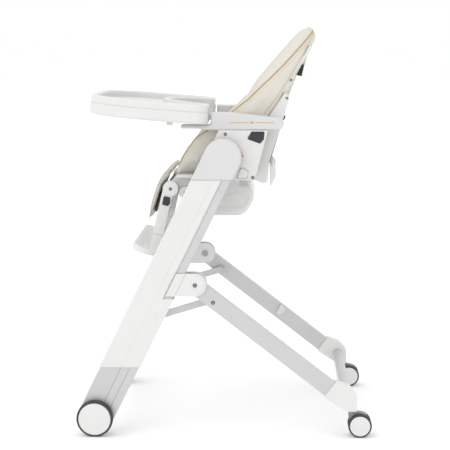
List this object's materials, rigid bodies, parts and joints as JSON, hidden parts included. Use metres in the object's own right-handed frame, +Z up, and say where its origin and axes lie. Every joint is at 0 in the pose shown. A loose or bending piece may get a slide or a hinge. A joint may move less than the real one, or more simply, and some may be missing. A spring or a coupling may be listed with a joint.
{
  "type": "baby high chair",
  "caption": "Folding baby high chair with a padded reclining seat that slides on two leaning legs, a removable tray, a tilting leg rest and wheels.",
  "frame": {"origin": "on the floor, at the centre of the footprint", "axes": "+Z up, the chair faces -Y, the child's left is +X"},
  "size_m": [0.605, 0.753, 1.042],
  "materials": {
    "white_plastic": "smooth moulded white plastic with a soft gloss",
    "sleeve_plastic": "moulded white plastic, satin",
    "grey_plastic": "light grey moulded plastic, satin",
    "shadow_grey_plastic": "mid grey moulded plastic",
    "leg_aluminium": "satin anodised extrusion",
    "rear_tube_paint": "silver-grey painted tube with a soft sheen",
    "steel": "plated steel fastener",
    "black_plastic": "black moulded plastic",
    "tyre_rubber": "soft dark tyre",
    "leatherette": "cream leatherette, fine grain",
    "webbing": "woven cream webbing",
    "black_webbing": "woven black webbing"
  },
  "bodies": {
    "leg_frame": {"front_leg_post_right": "leg_aluminium", "front_leg_post_left": "leg_aluminium", "leg_sleeve_right": "sleeve_plastic", "leg_sleeve_left": "sleeve_plastic", "leg_cap_right": "grey_plastic", "leg_cap_left": "grey_plastic", "front_crossbar": "rear_tube_paint", "front_axles": "steel", "sleeve_plugs": "sleeve_plastic", "strut_leg_pins": "steel"},
    "front_wheel_right": {"front_wheel_right": "white_plastic", "front_tyre_right": "tyre_rubber"},
    "front_wheel_left": {"front_wheel_left": "white_plastic", "front_tyre_left": "tyre_rubber"},
    "fold_brackets": {"fold_bracket_right": "white_plastic", "fold_bracket_left": "white_plastic", "pivot_bolts": "steel"},
    "rear_frame": {"rear_leg_frame": "rear_tube_paint", "corner_shoe_right": "white_plastic", "corner_shoe_left": "white_plastic", "tray_hooks": "white_plastic", "strut_rivets": "steel"},
    "fold_struts": {"fold_struts": "rear_tube_paint"},
    "caster_right": {"caster_fork_right": "shadow_grey_plastic"},
    "caster_left": {"caster_fork_left": "shadow_grey_plastic"},
    "caster_wheels_right": {"caster_tyres_right": "tyre_rubber", "caster_hubs_right": "white_plastic"},
    "caster_wheels_left": {"caster_tyres_left": "tyre_rubber", "caster_hubs_left": "white_plastic"},
    "seat_carriage": {"side_plate_right": "white_plastic", "side_plate_left": "white_plastic", "slider_blocks": "white_plastic", "seat_shell": "white_plastic", "under_shell": "white_plastic", "armrest_right": "grey_plastic", "armrest_left": "grey_plastic", "seat_screws": "steel", "seat_pad": "leatherette", "waist_straps": "webbing", "crotch_strap": "webbing", "harness_buckle": "white_plastic"},
    "height_lever_right": {"height_lever_right": "black_plastic"},
    "height_lever_left": {"height_lever_left": "black_plastic"},
    "fold_button_right": {"fold_button_right": "white_plastic"},
    "fold_button_left": {"fold_button_left": "white_plastic"},
    "backrest": {"back_shell": "white_plastic", "back_posts": "white_plastic", "backrest_pad": "leatherette", "shoulder_straps": "webbing", "strap_tab": "black_webbing"},
    "recline_lever": {"recline_lever": "white_plastic"},
    "leg_rest": {"leg_rest_arms": "white_plastic", "calf_flap": "leatherette", "calf_board": "black_plastic"},
    "footrest": {"footrest": "white_plastic"},
    "footrest_button_right": {"footrest_button_right": "black_plastic"},
    "footrest_button_left": {"footrest_button_left": "black_plastic"},
    "tray": {"tray_base": "white_plastic"},
    "tray_insert": {"tray_insert": "white_plastic"},
    "tray_release": {"tray_release": "white_plastic"}
  },
  "joints": [
    {"name": "front_wheel_right_spin", "type": "hinge", "parent": "leg_frame", "child": "front_wheel_right", "pos_m": [0, -0.33, 0.0465], "axis": [1, 0, 0], "continuous": true},
    {"name": "front_wheel_left_spin", "type": "hinge", "parent": "leg_frame", "child": "front_wheel_left", "pos_m": [0, -0.33, 0.0465], "axis": [1, 0, 0], "continuous": true},
    {"name": "bracket_slide", "type": "slide", "parent": "leg_frame", "child": "fold_brackets", "axis": [0, 0.4399, 0.898], "range_m": [0, 0.07699]},
    {"name": "fold", "type": "hinge", "parent": "fold_brackets", "child": "rear_frame", "pos_m": [0, -0.07372, 0.39143], "axis": [-1, 0, 0], "range_deg": [0, 60]},
    {"name": "strut_swing", "type": "hinge", "parent": "leg_frame", "child": "fold_struts", "pos_m": [0, -0.17242, 0.30225], "axis": [1, 0, 0], "range_deg": [0, 22.84]},
    {"name": "caster_right_swivel", "type": "hinge", "parent": "rear_frame", "child": "caster_right", "pos_m": [0.265, 0.3265, 0.08], "axis": [0, 0, 1], "continuous": true},
    {"name": "caster_right_spin", "type": "hinge", "parent": "caster_right", "child": "caster_wheels_right", "pos_m": [0.265, 0.3465, 0.03], "axis": [1, 0, 0], "continuous": true},
    {"name": "caster_left_swivel", "type": "hinge", "parent": "rear_frame", "child": "caster_left", "pos_m": [-0.265, 0.3265, 0.08], "axis": [0, 0, 1], "continuous": true},
    {"name": "caster_left_spin", "type": "hinge", "parent": "caster_left", "child": "caster_wheels_left", "pos_m": [-0.265, 0.3465, 0.03], "axis": [1, 0, 0], "continuous": true},
    {"name": "seat_height", "type": "slide", "parent": "leg_frame", "child": "seat_carriage", "axis": [0, 0.4399, 0.898], "range_m": [-0.24, 0]},
    {"name": "recline", "type": "hinge", "parent": "seat_carriage", "child": "backrest", "pos_m": [0, 0.071, 0.659], "axis": [-1, 0, 0], "range_deg": [0, 38]},
    {"name": "recline_release", "type": "slide", "parent": "backrest", "child": "recline_lever", "axis": [0, 0.4067, 0.9135], "range_m": [0, 0.006], "stiffness_N_per_m": 500},
    {"name": "leg_rest_tilt", "type": "hinge", "parent": "seat_carriage", "child": "leg_rest", "pos_m": [0, -0.14, 0.627], "axis": [-1, 0, 0], "range_deg": [0, 60]},
    {"name": "footrest_slide", "type": "slide", "parent": "leg_rest", "child": "footrest", "axis": [0, -0.2215, -0.9751], "range_m": [0, 0.04]},
    {"name": "tray_slide", "type": "slide", "parent": "seat_carriage", "child": "tray", "axis": [0, -0.9969, 0.0785], "range_m": [0, 0.09]},
    {"name": "tray_insert_lift", "type": "slide", "parent": "tray", "child": "tray_insert", "axis": [0, 0.0785, 0.9969], "range_m": [0, 0.05]},
    {"name": "tray_release_pull", "type": "slide", "parent": "tray", "child": "tray_release", "axis": [0, -0.9969, 0.0785], "range_m": [0, 0.008], "stiffness_N_per_m": 500},
    {"name": "height_lever_right_press", "type": "slide", "parent": "seat_carriage", "child": "height_lever_right", "axis": [-1, 0, 0], "range_m": [0, 0.004], "stiffness_N_per_m": 400},
    {"name": "fold_button_right_press", "type": "slide", "parent": "seat_carriage", "child": "fold_button_right", "axis": [-1, 0, 0], "range_m": [0, 0.004], "stiffness_N_per_m": 400},
    {"name": "footrest_button_right_press", "type": "slide", "parent": "leg_rest", "child": "footrest_button_right", "axis": [-1, 0, 0], "range_m": [0, 0.0025], "stiffness_N_per_m": 400},
    {"name": "height_lever_left_press", "type": "slide", "parent": "seat_carriage", "child": "height_lever_left", "axis": [1, 0, 0], "range_m": [0, 0.004], "stiffness_N_per_m": 400},
    {"name": "fold_button_left_press", "type": "slide", "parent": "seat_carriage", "child": "fold_button_left", "axis": [1, 0, 0], "range_m": [0, 0.004], "stiffness_N_per_m": 400},
    {"name": "footrest_button_left_press", "type": "slide", "parent": "leg_rest", "child": "footrest_button_left", "axis": [1, 0, 0], "range_m": [0, 0.0025], "stiffness_N_per_m": 400}
  ],
  "couplings": [
    {"joint": "bracket_slide", "follows": "fold", "m_per_rad": 0.073332},
    {"joint": "strut_swing", "follows": "fold", "ratio": 0.37738}
  ]
}
